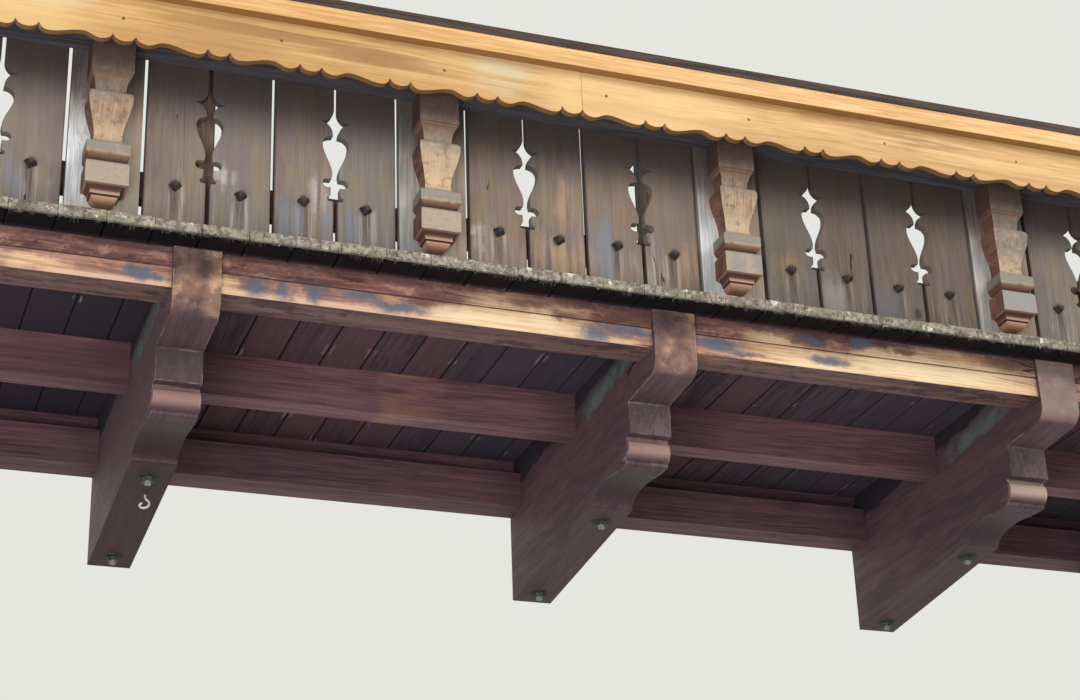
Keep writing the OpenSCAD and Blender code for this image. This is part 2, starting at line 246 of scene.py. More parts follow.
def weather(wood, lengthways, drip):
    """Long patches where a finish wears, and places shifted by noise, which give a stain its ragged edge.

    drip is how far the edge of a stain runs up and down from one column of drops to the next.
    """
    tree = wood.tree
    patch_shape, shift = [1.0] * 3, [0.05] * 3
    patch_shape[lengthways], shift[lengthways] = 1 / 4, 0.12
    patch = add(tree, "VectorMath", {0: wood.own, 1: patch_shape}, operation="MULTIPLY")
    wood.patch = add(tree, "TexNoise", {"Vector": patch, "Scale": 5.0, "Detail": 5.0, "Roughness": 0.6})
    ragged = add(tree, "TexNoise", {
        "Vector": wood.place, "Scale": 20.0, "Detail": 5.0, "Roughness": 0.65}, "Color")
    ragged = add(tree, "VectorMath", {0: ragged, 1: (-0.5, -0.5, -0.5)}, operation="ADD")
    ragged = add(tree, "VectorMath", {0: ragged, 1: shift, 2: wood.place}, operation="MULTIPLY_ADD")
    column = add(tree, "TexNoise", {"W": wood.x, "Scale": 30.0, "Detail": 3.0}, noise_dimensions="1D")
    fall = add(tree, "Math", {0: column, 1: drip, 2: -0.5 * drip}, operation="MULTIPLY_ADD")
    fall = add(tree, "CombineXYZ", {"Z": fall})
    wood.ragged = add(tree, "VectorMath", {0: ragged, 1: fall}, operation="ADD")


one_board = ("x", -endless / 2, endless, endless)


def timber(name, along, figure=0.12, cracks=0.5, boards=one_board, sheets=("X", 1.0)):
    """Softwood that runs along one axis, with the patterns that its finish is made from.

    up is the height over the deck. figure is how much of the grain is yearly rings. boards gives an axis, a
    start, a pitch and the length after which the row starts anew, and is one wide board if not given. In a
    carved piece the grain is drawn out along a second axis too, into sheets, so that its sloping faces still
    show long grain.
    """
    wood = SimpleNamespace(material=blank(name))
    tree = wood.tree = wood.material.node_tree
    wood.place = add(tree, "TexCoord", out="Object")
    wood.x, wood.y, wood.z = add(tree, "SeparateXYZ", {0: wood.place}).node.outputs
    wood.up = add(tree, "Math", {0: wood.z, 1: deck_top}, operation="SUBTRACT")
    normal = wood.place.node.outputs["Normal"]
    wood.to_right, wood.to_back, wood.to_top = add(tree, "SeparateXYZ", {0: normal}).node.outputs
    lengthways = "XYZ".index(along)
    number_boards(wood, *boards)
    grow(wood, lengthways, figure, sheets)
    dry_out(wood, cracks)
    weather(wood, lengthways, drip=0.04 if along == "Z" else 0.012)
    return wood


def coat(on, colour, *finishes):
    """Lays finishes over a colour, one after another. Each is a colour, an amount and where it goes.

    Where it goes is any number of places, in each of which it fades in as a value goes from one number to
    another.
    """
    for finish, amount, *places in finishes:
        for value, bare, coated in places:
            fade = add(on.tree, "MapRange", {"Value": value, "From Min": bare, "From Max": coated},
                       interpolation_type="SMOOTHSTEP")
            amount = add(on.tree, "Math", {0: amount, 1: fade}, operation="MULTIPLY")
        colour = add(on.tree, "Mix", {0: amount, 6: colour, 7: finish}, 2, data_type="RGBA")
    return colour


def grained(wood, dark, light, low=0.2, high=0.8):
    """A colour that goes from dark to light with the grain."""
    return coat(wood, dark, (light, 1.0, (wood.grain, low, high)))


def surface(wood, colour, roughness, relief_mm, edge_mm=3.0, shine=0.35):
    """Ends a timber's material: cracks, the sheen and relief of its grain, and edges rounded by wear."""
    tree = wood.tree
    colour = coat(wood, colour, ("#1a1210", 0.85, (wood.crack, 0.0, 1.0)))
    height = add(tree, "Math", {0: wood.crack, 1: -1.6, 2: wood.grain}, operation="MULTIPLY_ADD")
    edge = add(tree, "Bevel", {"Radius": edge_mm / 1000}, samples=4)
    relief = add(tree, "Bump", {
        "Height": height, "Strength": 0.9, "Distance": relief_mm / 1000, "Normal": edge})
    sheen = add(tree, "MapRange", {
        "Value": wood.grain, "To Min": roughness + 0.08, "To Max": roughness - 0.08})
    shader = add(tree, "BsdfPrincipled", {
        "Base Color": colour, "Roughness": sheen, "Normal": relief, "Specular IOR Level": shine})
    add(tree, "OutputMaterial", {"Surface": shader})
    return wood.material


def paint(material, *names):
    """Gives CAD nodes their finish."""
    for name in names:
        slots = nodes[name].data.materials
        if not len(slots):
            slots.append(material)
        for i in range(len(slots)):
            slots[i] = material


def middle_of(node):
    """The X of the middle of a CAD node, to a tenth of a millimetre."""
    low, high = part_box(node)
    return round((low.x + high.x) / 2, 4)


consoles = [f"bracket_{k}" for k in range(1, 6)]
bracket_x = [middle_of(name) for name in consoles]
bracket_low, bracket_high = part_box("bracket_3")
bracket_w = bracket_high.x - bracket_low.x
nose_y = bracket_low.y
groove_z = deck_low.z - 0.356
roll_y, roll_z, roll_r = nose_y + 0.310, deck_low.z - 0.401, 0.041

# The stain, in paler and darker patches. Painted shade darkens the undersides and the cove, most of all on
# the two consoles on the left, whose sides are paler with painted light.
wood = timber("stained_spruce_console", "Y", cracks=0.6, sheets=("Z", 0.3))
tree = wood.tree
from_nose = add(tree, "Math", {0: wood.y, 1: nose_y}, operation="SUBTRACT")
sideways = add(tree, "Math", {0: wood.to_right}, operation="ABSOLUTE")
wood.crack = add(tree, "Math", {0: wood.crack, 1: sideways}, operation="MULTIPLY")
side_face = (sideways, 0.6, 0.9)
sawn_face = (sideways, 0.7, 0.3)
front = (wood.to_back, -0.2, -0.75)
below = (wood.to_top, -0.3, -0.8)
leftmost = (wood.x, -0.8, -1.4)
colour = grained(wood, "#4a383d", "#5f464b")
colour = coat(
    wood, colour,
    ("#6e5459", 0.4, (wood.patch, 0.5, 0.75)),
    ("#35272d", 0.4, (wood.patch, 0.46, 0.28)),
    # Painted light on the sides of the two left consoles, then painted shade on the undersides and in the
    # cove.
    ("#6a5658", 0.35, side_face, leftmost),
    ("#33262b", 0.35, below, (from_nose, 0.2, 0.3)),
    ("#35211f", 0.8, below, (wood.x, -0.6, -1.4), (from_nose, 0.4, 0.6)),
    ("#33262b", 0.5, sawn_face, (from_nose, 0.33, 0.37), (from_nose, 0.66, 0.58)),
)

# The nose, where sun and rain have left spots of old stain on bare wood.
spots = add(tree, "TexNoise", {"Vector": wood.ragged, "Scale": 14.0, "Detail": 4.0, "Roughness": 0.55})
broad = add(tree, "TexNoise", {"Vector": wood.place, "Scale": 6.0, "Detail": 2.0})
near_nose = (from_nose, 0.17, 0.02)
colour = coat(
    wood, colour,
    ("#8a6a5c", 0.9, near_nose, front, (broad, 0.3, 0.5)),
    ("#4a3a38", 0.85, near_nose, front, (spots, 0.53, 0.37), (broad, 0.62, 0.45)),
    ("#cda47f", 0.85, near_nose, front, (spots, 0.5, 0.68), (broad, 0.4, 0.55)),
    ("#93807c", 0.6, near_nose, front, (wood.x, 0.7, 1.3)),
)

# The roll, rubbed bare, and the greyed face over it. The roll's pale wood is painted light as well: it fades
# out towards the roll's underside.
off_roll = add(tree, "VectorMath", {0: wood.place, 1: (0.0, roll_y, roll_z)}, operation="SUBTRACT")
off_roll = add(tree, "VectorMath", {0: off_roll, 1: (0.0, 1.0, 1.0)}, operation="MULTIPLY")
off_roll = add(tree, "VectorMath", {0: off_roll}, "Value", operation="LENGTH")
rubbed = coat(wood, "#9d7c72", ("#bfa79b", 1.0, (wood.x, -0.6, 1.6)))
colour = coat(
    wood, colour,
    (rubbed, 0.85, (off_roll, roll_r + 0.012, roll_r), (wood.z, roll_z - 0.04, roll_z - 0.005), sawn_face),
)
riser = grained(wood, "#57474a", "#675c59", 0.3, 0.7)
riser = coat(wood, riser, ("#42373a", 0.6, leftmost))
colour = coat(
    wood, colour,
    (riser, 0.8, front, (from_nose, 0.2, 0.24), (wood.z, groove_z - 0.022, groove_z + 0.018)),
)

# Damp has crept down the sides from the deck and left a grey-green edge. Next to the boards the sides are
# painted black as painted shade under the deck.
damp_and_shade_level = add(tree, "Math", {0: wood.y, 1: 0.078, 2: wood.z}, operation="MULTIPLY_ADD")
damp_and_shade_level = add(tree, "Math", {0: spots, 1: 0.05, 2: damp_and_shade_level}, operation="MULTIPLY_ADD")
damp_and_shade_level = add(tree, "Math", {0: damp_and_shade_level, 1: 0.025}, operation="SUBTRACT")
inside = (from_nose, 0.10, 0.17)
left_face = (wood.to_right, -0.6, -0.9)
past_first = (wood.x, bracket_x[0] + 0.3, bracket_x[1] - 0.3)
green = inside, left_face, past_first, (wood.y, -0.76, -0.92)
colour = coat(
    wood, colour,
    ("#444a4c", 0.8, *green, (damp_and_shade_level, 0.05, 0.1), (broad, 0.25, 0.5)),
    ("#68756f", 0.7, *green, (damp_and_shade_level, 0.05, 0.08), (damp_and_shade_level, 0.145, 0.115), (spots, 0.3, 0.62)),
    # Painted shade: black next to the deck boards.
    ("#2a262e", 0.95, side_face, inside, (damp_and_shade_level, 0.145, 0.157)),
)

# Sharp front edges are rubbed bare: there a wide rounding turns away from the true face.
turned = add(tree, "Bevel", {"Radius": 0.007}, samples=4)
facing = add(tree, "NewGeometry", out="True Normal")
facing = add(tree, "VectorMath", {0: turned, 1: facing}, "Value", operation="DOT_PRODUCT")
colour = coat(
    wood, colour,
    ("#c7b2a6", 0.6, (facing, 0.985, 0.90), (wood.y, -0.95, -1.15), (spots, 0.46, 0.62)),
)
bracket_finish = surface(wood, colour, roughness=0.66, relief_mm=0.9, edge_mm=5.0)
paint(bracket_finish, *consoles)


# Turned eyes
# The roll of each console ends on both sides in a low round eye with a raised middle, turned from the same
# spruce, glued on and stained with the console.
def add_peg(bm, sides, low_r, high_r, long, place=Matrix.Identity(4)):
    """Adds a peg, round or with a few sides, that tapers from its lower end. Its place is its middle."""
    bmesh.ops.create_cone(bm, cap_ends=True, segments=sides, radius1=low_r, radius2=high_r, depth=long,
                          matrix=place)


def join(part, bm):
    """Moves a finished part into the bmesh of its piece."""
    mesh = bpy.data.meshes.new("part")
    part.to_mesh(mesh)
    part.free()
    bm.from_mesh(mesh)
    bpy.data.meshes.remove(mesh)


eye_r, eye_t, eye_slant, eye_sunk = roll_r - 0.003, 0.006, 0.004, 0.002
button_in, button_t = 0.026, 0.003
eye_x = (bracket_w + eye_t) / 2 - eye_sunk
bm = bmesh.new()
for x in bracket_x:
    for side in (-1, 1):
        eye = bmesh.new()
        add_peg(eye, 40, eye_r, eye_r - eye_slant, eye_t)
        face = [f for f in eye.faces if f.normal.z > 0.9]
        bmesh.ops.inset_region(eye, faces=face, thickness=button_in, depth=button_t)
        turn = Matrix.Rotation(math.radians(90.0 * side), 4, "Y")
        at = Matrix.Translation((x + side * eye_x, roll_y, roll_z))
        bmesh.ops.transform(eye, matrix=at @ turn, verts=eye.verts)
        join(eye, bm)
keep(bm, "roll_eyes", bracket_finish, "bracket_timber")


# Bolts
# Two bolts hold each console. On its underside show a washer gone black, and a nut and the bolt's end
# under a pale green-grey bloom of zinc.
def metal(name, dark, light, metallic, roughness, grit_mm, top=None):
    """Bare or rusted metal with a mottled surface. top is the colour of the faces that look up, from weather
    and as painted light.
    """
    iron = SimpleNamespace(material=blank(name))
    tree = iron.tree = iron.material.node_tree
    place = add(tree, "TexCoord", out="Object")
    mottle = add(tree, "TexNoise", {"Vector": place, "Scale": 1000 / grit_mm, "Detail": 4.0})
    mottle = add(tree, "MapRange", {"Value": mottle, "From Min": 0.35, "From Max": 0.68})
    colour = coat(iron, dark, (light, mottle))
    if top:
        to_top = add(tree, "SeparateXYZ", {0: place.node.outputs["Normal"]}, "Z")
        colour = coat(iron, colour, (top, 0.85, (to_top, 0.15, 0.45)))
    rough = add(tree, "MapRange", {"Value": mottle, "To Min": roughness - 0.1, "To Max": roughness + 0.1})
    bump = add(tree, "Bump", {"Height": mottle, "Strength": 0.6, "Distance": 0.001})
    shader = add(tree, "BsdfPrincipled", {
        "Base Color": colour, "Metallic": metallic, "Roughness": rough, "Normal": bump})
    add(tree, "OutputMaterial", {"Surface": shader})
    return iron.material


heel_y, heel_z = nose_y + 0.635, deck_low.z - 0.487
slope = math.atan2(bracket_low.z - heel_z, -heel_y)


def underside_z(y):
    """Height of the sloping underside of a console, between its heel and the wall."""
    return heel_z + (y - heel_y) * math.tan(slope)


bolts_y = (-0.747, -0.086)
washer_r, nut_r, end_r = 0.036, 0.025, 0.013
washer_t, nut_t, end_t = 0.004, 0.013, 0.010
washers = bmesh.new()
nuts = bmesh.new()
ends = bmesh.new()
for x in bracket_x:
    for y in bolts_y:
        at = Matrix.Translation((x, y, underside_z(y))) @ Matrix.Rotation(slope + math.pi, 4, "X")
        turn = Matrix.Rotation(x * 3.0 + y, 4, "Z")
        on_face = at @ Matrix.Translation((0, 0, washer_t / 2))
        on_washer = at @ Matrix.Translation((0, 0, washer_t + nut_t / 2)) @ turn
        on_nut = at @ Matrix.Translation((0, 0, washer_t + nut_t + end_t / 2))
        add_peg(washers, 36, washer_r, washer_r - 0.002, washer_t, on_face)
        add_peg(nuts, 6, nut_r, nut_r - 0.0025, nut_t, on_washer)
        add_peg(ends, 20, end_r, end_r - 0.002, end_t, on_nut)
washer_finish = metal("blackened_zinc", "#191a1a", "#434844", metallic=0.5, roughness=0.6, grit_mm=9.0)
nut_finish = metal("dark_zinc", "#292e2c", "#56615c", metallic=0.4, roughness=0.6, grit_mm=12.0)
end_finish = metal("bloomed_zinc", "#6a6f6b", "#9fa19b", metallic=0.2, roughness=0.6, grit_mm=8.0)
keep(washers, "bracket_washers", washer_finish, "bracket_timber")
keep(nuts, "bracket_nuts", nut_finish, "bracket_timber")
keep(ends, "bracket_bolt_ends", end_finish, "bracket_timber")


# Screw hook
# A bent hook of bright zinc-plated wire, screwed into the underside of the second console. The wire comes
# down, runs round in an open ring and turns back up inside it.
wire_r = 0.0044
hook_x, hook_y = bracket_x[1] + 0.016, -0.612
hook_drop, hook_turn = 0.016, -0.35
bends = (
    (0.000, 0.022), (0.000, 0.008), (0.003, 0.002), (0.011, -0.004), (0.016, -0.012), (0.016, -0.020),
    (0.010, -0.028), (0.001, -0.031), (-0.010, -0.030), (-0.018, -0.023), (-0.016, -0.014), (-0.008, -0.012),
)
path = bpy.data.curves.new("hook_path", "CURVE")
path.dimensions = "3D"
wire = path.splines.new("NURBS")
wire.points.add(len(bends) - 1)
for point, (right, up) in zip(wire.points, bends):
    point.co = (right, 0.0, up, 1.0)
wire.use_endpoint_u = True
wire.order_u = 4
wire.resolution_u = 6
path.bevel_depth = wire_r
path.bevel_resolution = 3
path.use_fill_caps = True
bent = bpy.data.objects.new("hook_path", path)
bm = bmesh.new()
bm.from_mesh(bent.to_mesh())
bent.to_mesh_clear()
bpy.data.objects.remove(bent)
bmesh.ops.remove_doubles(bm, verts=bm.verts, dist=0.00005)
hang = Matrix.Translation((hook_x, hook_y, underside_z(hook_y) - hook_drop))
bmesh.ops.transform(bm, matrix=hang @ Matrix.Rotation(hook_turn, 4, "Z"), verts=bm.verts)
hook_finish = metal("bright_zinc_wire", "#b4aeac", "#ece4e2", metallic=0.2, roughness=0.4, grit_mm=12.0)
keep(bm, "screw_hook", hook_finish, "bracket_timber")


# Edge beam
# Two spruce timbers, one on the other, with an open joint between them. Their red-brown stain has peeled
# in long patches, most of all along the lower one, and rain has left blue-grey stains on the bare wood.
def stain(wood, colour, finish, amount, spots, soft, *places):
    """Ragged stains on a face along the wall. Each spot is a middle and a reach, both in X and Z."""
    for x, z, reach_x, reach_z in spots:
        far = add(wood.tree, "VectorMath", {
            0: wood.ragged, 1: (1 / reach_x, 0.0, 1 / reach_z), 2: (-x / reach_x, 0.0, -z / reach_z)},
            operation="MULTIPLY_ADD")
        far = add(wood.tree, "VectorMath", {0: far}, "Value", operation="LENGTH")
        spread = (far, 1.0 + soft, 1.0 - soft)
        colour = coat(wood, colour, (finish, amount, spread, (wood.to_back, -0.4, -0.8), *places))
    return colour


beam_low, beam_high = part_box("edge_beam")
joint_z = (beam_low.z + beam_high.z) / 2
wood = timber("peeling_stained_spruce", "X", cracks=0.6)
tree = wood.tree
blotch = add(tree, "VectorMath", {0: wood.ragged, 1: (0.3, 1.0, 1.0)}, operation="MULTIPLY")
blotch = add(tree, "TexNoise", {"Vector": blotch, "Scale": 26.0, "Detail": 5.0, "Roughness": 0.6})
upper = grained(wood, "#704b45", "#9c7064")
upper = coat(
    wood, upper,
    ("#c99c84", 0.8, (blotch, 0.52, 0.64)),
    ("#4f3537", 0.75, (wood.patch, 0.48, 0.66), (wood.streak, 0.6, 0.45)),
    ("#4b3233", 0.8, (blotch, 0.47, 0.38)),
    # Painted shade at the top of the upper timber, under the deck's edge.
    ("#583c3c", 0.7, (wood.z, joint_z + 0.03, joint_z + 0.062)),
)
lower = grained(wood, "#87604f", "#b78a78")
lower = coat(
    wood, lower,
    ("#d6a27c", 0.7, (blotch, 0.48, 0.64)),
    ("#6f5a62", 0.6, (blotch, 0.47, 0.36), (wood.patch, 0.42, 0.58)),
    # A painted highlight in patches along the lower edge.
    ("#e3c0a2", 0.75, (wood.z, beam_low.z + 0.028, beam_low.z + 0.014), (wood.patch, 0.44, 0.56)),
)
colour = coat(wood, upper, (lower, 1.0, (wood.z, joint_z + 0.004, joint_z - 0.004)))

# Bare wood, from golden to nearly white.
golden = [
    (-2.85, 0.170, 0.13, 0.040), (-2.15, 0.170, 0.10, 0.020), (-1.55, 0.165, 0.04, 0.030),
    (-0.60, 0.160, 0.30, 0.045), (-0.55, 0.210, 0.20, 0.050), (0.43, 0.165, 0.18, 0.050),
    (0.98, 0.165, 0.42, 0.060), (1.10, 0.230, 0.24, 0.035), (0.80, 0.220, 0.10, 0.025),
    (0.38, 0.225, 0.10, 0.022), (2.15, 0.165, 0.12, 0.040),
]
brightest = [
    (-0.66, 0.158, 0.20, 0.030), (-0.47, 0.190, 0.05, 0.030), (0.55, 0.150, 0.14, 0.020),
    (1.02, 0.172, 0.34, 0.042),
]
bare = grained(wood, "#c4996f", "#efcda2", 0.15, 0.7)
bleached = grained(wood, "#f3d3a4", "#ffeac6", 0.3, 0.7)
colour = stain(wood, colour, bare, 0.95, golden, 0.6)
colour = stain(wood, colour, bleached, 0.6, brightest, 0.6)

# Scraps of old stain, and the blue-grey of standing water.
brown = [
    (-0.82, 0.217, 0.07, 0.018), (-0.52, 0.243, 0.09, 0.018), (-0.90, 0.195, 0.06, 0.014),
    (-0.40, 0.215, 0.05, 0.016), (0.50, 0.238, 0.06, 0.016), (0.90, 0.245, 0.05, 0.014),
    (1.30, 0.247, 0.10, 0.022), (-0.12, 0.235, 0.12, 0.020),
]
water = [
    (-1.83, 0.176, 0.045, 0.026), (-1.76, 0.165, 0.035, 0.014), (-1.445, 0.180, 0.045, 0.036),
    (-1.36, 0.178, 0.03, 0.040), (-1.26, 0.182, 0.035, 0.032), (-1.10, 0.190, 0.07, 0.018),
    (-0.97, 0.166, 0.09, 0.020), (-0.29, 0.162, 0.05, 0.032), (-0.17, 0.188, 0.10, 0.018),
    (0.16, 0.184, 0.09, 0.022), (0.27, 0.158, 0.06, 0.010), (0.59, 0.172, 0.07, 0.020),
    (0.53, 0.244, 0.05, 0.014), (0.73, 0.250, 0.045, 0.018), (-2.35, 0.185, 0.08, 0.025),
    (1.85, 0.180, 0.07, 0.025),
]
colour = stain(wood, colour, "#6f4d44", 0.85, brown, 0.7)
watered = coat(wood, "#6a5c65", ("#596475", 1.0, (wood.patch, 0.44, 0.54)))
colour = stain(wood, colour, watered, 0.9, water, 0.6)
colour = coat(wood, colour, ("#4a3230", 0.7, (wood.knot, 0.0, 1.0)))

boards_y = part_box("pierced_boards_1")[0].y
underside = grained(wood, "#5c4141", "#785854")
underside = coat(
    wood, underside,
    ("#38282a", 0.8, (blotch, 0.49, 0.6)),
    ("#a27a58", 0.7, (wood.patch, 0.5, 0.40), (wood.y, boards_y + 0.07, boards_y)),
)
colour = coat(wood, colour, (underside, 1.0, (wood.to_top, -0.4, -0.8)))
paint(surface(wood, colour, roughness=0.64, relief_mm=0.8, edge_mm=4.0), "edge_beam")


# Joist and wall beam
# Plain sawn spruce between the consoles, stained dark red-brown. The deck keeps the sun off it, so the stain
# has never bleached. Just left of each console it is darkened with painted shade.
def sheltered_and_shaded(name, dark, light, rubbed):
    """Stained timber under the deck, and its colour, with painted shade just left of each console but the
    first.
    """
    wood = timber(name, "X", cracks=0.6)
    colour = grained(wood, dark, light)
    colour = coat(
        wood, colour,
        (rubbed, 0.5, (wood.patch, 0.5, 0.72)),
        (dark, 0.6, (wood.patch, 0.46, 0.32)),
    )
    # Painted shade just left of each console but the first.
    for x in bracket_x[1:]:
        colour = coat(wood, colour, ("#3a2a31", 0.4, (wood.x, x - 0.28, x - 0.08), (wood.x, x + 0.06, x)))
    return wood, coat(wood, colour, ("#2c1a1a", 0.8, (wood.knot, 0.0, 1.0)))


wood, colour = sheltered_and_shaded("stained_spruce_joist", "#5c3f45", "#7f5a61", "#8d6967")
rubbed_stretch = (wood.x, -0.86, -0.78), (wood.x, -0.56, -0.64)
colour = coat(wood, colour, ("#a07a5c", 0.6, *rubbed_stretch, (wood.patch, 0.42, 0.56)))
paint(surface(wood, colour, roughness=0.7, relief_mm=0.6), "middle_joist")
wood, colour = sheltered_and_shaded("stained_spruce_wall_beam", "#4e373e", "#6e4f55", "#7b5956")
paint(surface(wood, colour, roughness=0.74, relief_mm=0.6), "wall_beam", "wall_packing")


# Deck
# Spruce boards laid from the wall out past the railing. The walked side is grey, the underside keeps its
# dark stain with scratched edges, and the front ends are nearly black below. The underside is darkened with
# painted shade left of each console but the first, and everywhere left of the second.
board_count = 40
board_start = deck_low.x
board_pitch = (deck_high.x - deck_low.x) / board_count
wood = timber("weathered_spruce_deck", "Y", cracks=0.3, boards=("x", board_start, board_pitch, endless))
stained_and_shaded = grained(wood, "#40333c", "#5a4750")
stained_and_shaded = coat(
    wood, stained_and_shaded,
    ("#64474b", 0.65, (wood.chance, 0.2, 1.0)),
    ("#231a1f", 0.55, (wood.edge, 0.46, 0.478)),
)
# Painted shade left of each console but the first, and over all the deck left of the second.
for x in bracket_x[1:]:
    stained_and_shaded = coat(wood, stained_and_shaded, ("#413d48", 0.7, (wood.x, x - 0.75, x - 0.25), (wood.x, x + 0.06, x)))
stained_and_shaded = coat(wood, stained_and_shaded, ("#322d36", 0.75, (wood.x, bracket_x[1] + 0.2, bracket_x[1])))
scratched = add(wood.tree, "TexNoise", {"Vector": wood.place, "Scale": 6.5, "Detail": 2.0})
stained_and_shaded = coat(
    wood, stained_and_shaded,
    ("#9c8b86", 0.7, (wood.edge, 0.36, 0.42), (wood.edge, 0.46, 0.44), (scratched, 0.58, 0.66),
     (wood.fibre, 0.42, 0.56)),
    ("#120e10", 0.95, (wood.y, boards_y, boards_y - 0.035)),
)
walked = grained(wood, "#5c554e", "#968e84")
walked = coat(wood, walked, ("#6f6a60", 0.7, (wood.chance, 0.0, 1.0)))
speckle = add(wood.tree, "TexNoise", {"Vector": wood.place, "Scale": 55.0, "Detail": 5.0, "Roughness": 0.7})
lichen = coat(wood, "#6f6d60", ("#b9b4a4", 1.0, (speckle, 0.38, 0.66)))
walked = coat(wood, walked, (lichen, 0.9, (wood.y, boards_y, boards_y - 0.1), (speckle, 0.3, 0.5)))
colour = coat(wood, stained_and_shaded, (walked, 1.0, (wood.to_top, 0.3, 0.7)))
paint(surface(wood, colour, roughness=0.82, relief_mm=0.8, shine=0.1), "deck_boards")

# Lichen crust
# A grey crust of lichen on the wet front ends of the deck boards, with pale spots and a ragged black lower
# edge where the wood has rotted. It lies on the boards as a thin bulging skin.
crust = SimpleNamespace(material=blank("grey_lichen"))
tree = crust.tree = crust.material.node_tree
place = add(tree, "TexCoord", out="Object")
height = add(tree, "SeparateXYZ", {0: place}, "Z")
fine = add(tree, "TexNoise", {"Vector": place, "Scale": 70.0, "Detail": 4.0, "Roughness": 0.65})
patch = add(tree, "TexNoise", {"Vector": place, "Scale": 7.0, "Detail": 3.0})
bloom = add(tree, "TexNoise", {"Vector": place, "Scale": 24.0, "Detail": 5.0, "Roughness": 0.7})
colour = coat(crust, "#6d655b", ("#aca394", 1.0, (fine, 0.36, 0.64)))
colour = coat(
    crust, colour,
    ("#7d7c64", 0.6, (patch, 0.5, 0.66)),
    ("#5d554c", 0.7, (patch, 0.46, 0.32)),
    ("#e4dfd4", 0.9, (bloom, 0.60, 0.66)),
    ("#3a322d", 0.8, (bloom, 0.42, 0.35)),
    ("#211b1a", 0.9, (height, deck_top - 0.028, deck_top - 0.038), (fine, 0.3, 0.5)),
)
bump = add(tree, "Bump", {"Height": fine, "Strength": 0.9, "Distance": 0.003})
shader = add(tree, "BsdfPrincipled", {
    "Base Color": colour, "Roughness": 0.95, "Normal": bump, "Specular IOR Level": 0.15})
add(tree, "OutputMaterial", {"Surface": shader})

ends_y = deck_low.y
crust_t, crust_gap = 0.0022, 0.002
top_reach, top_lift, top_bulge = 0.0275, 0.0008, 0.0022
face_h, face_lift, face_bulge = 0.034, 0.0010, 0.0035
face_share, fringe_drop = 0.75, 0.013
random.seed(11)
bm = bmesh.new()
for k in range(board_count):
    left = board_start + board_pitch * k + crust_gap / 2
    droop = random.uniform(0.3, 1.0)
    low_end = random.uniform(-0.002, 0.002)
    for v in bmesh.ops.create_grid(bm, x_segments=28, y_segments=8, size=0.5)["verts"]:
        u, w = v.co.x + 0.5, v.co.y + 0.5
        x = left + u * (board_pitch - crust_gap)
        bulge = 0.5 + 0.5 * noise.noise(Vector((x * 30, w * 4, k * 1.7)))
        fringe = noise.noise(Vector((x * 90, 3.1, 7.7))) + 0.7 * noise.noise(Vector((x * 26, 9.1, 2.7)))
        if w > face_share:
            y = ends_y + (w - face_share) / (1 - face_share) * top_reach
            z = deck_top + top_lift + top_bulge * bulge
        else:
            y = ends_y - face_lift - face_bulge * bulge
            z = deck_top + 0.0015 + low_end - (face_share - w) / face_share * face_h
            if w < 0.01:
                z -= 0.003 + fringe_drop * droop * max(0.0, fringe + 0.2)
                y += 0.005
        v.co = (x, y, z)
bmesh.ops.solidify(bm, geom=bm.faces[:], thickness=crust_t)
keep(bm, "ledge_lichen", crust.material, "deck_wood")

# Rotted fibres
# Loose wood fibre and old moss that hang in a thin dark fringe from the lower edge of the board ends, in
# tufts of four hairs that taper downwards.
tufts, hairs = 210, 4
hair_tip_r, hair_root_r = 0.0006, 0.0024
hair_top_z = deck_top - 0.031
random.seed(23)
bm = bmesh.new()
for tuft in range(tufts):
    x = random.uniform(board_start + 0.01, deck_high.x - 0.01)
    for hair in range(hairs):
        long = random.uniform(0.006, 0.020)
        lean = Matrix.Rotation(random.uniform(-0.5, 0.5), 4, "Y")
        lean = lean @ Matrix.Rotation(random.uniform(0.0, 0.4), 4, "X")
        root_x = x + random.uniform(-0.012, 0.012)
        root_y = ends_y + random.uniform(0.001, 0.012)
        root = Matrix.Translation((root_x, root_y, hair_top_z))
        hang = root @ lean @ Matrix.Translation((0, 0, -0.5 * long))
        add_peg(bm, 3, hair_tip_r, hair_root_r, long, hang)
fluff = SimpleNamespace(material=blank("loose_wood_fibre"))
tree = fluff.tree = fluff.material.node_tree
tone = add(tree, "TexNoise", {"Vector": add(tree, "TexCoord", out="Object"), "Scale": 12.0})
colour = coat(fluff, "#1d1918", ("#4f463e", 1.0, (tone, 0.4, 0.66)))
shader = add(tree, "BsdfPrincipled", {"Base Color": colour, "Roughness": 0.9})
add(tree, "OutputMaterial", {"Surface": shader})
keep(bm, "ledge_fibres", fluff.material, "deck_wood")


# Railing frame
# Square posts, rails and the handrail stand behind the boards: planed spruce with a brown stain that hands
# and rain have worn, and that has gone grey where it faces up.
def framing(name, along, dark, light):
    """The finish of a planed and stained timber."""
    wood = timber(name, along)
    colour = grained(wood, dark, light)
    colour = coat(
        wood, colour,
        ("#7b7269", 0.7, (wood.to_top, 0.3, 0.8), (wood.patch, 0.4, 0.6)),
        ("#2a1d18", 0.7, (wood.knot, 0.0, 1.0)),
    )
    return surface(wood, colour, roughness=0.68, relief_mm=0.7)


paint(framing("brown_spruce_post", "Z", "#4a3830", "#6f5a4c"), "railing_posts")
paint(framing("brown_spruce_rail", "X", "#3a2d28", "#5a4a40"), "lower_rails", "upper_rails")
paint(framing("brown_spruce_handrail", "X", "#46332a", "#6d5140"), "handrail_front")
paint(framing("brown_spruce_side_handrail", "Y", "#46332a", "#6d5140"), "handrail_left", "handrail_right")


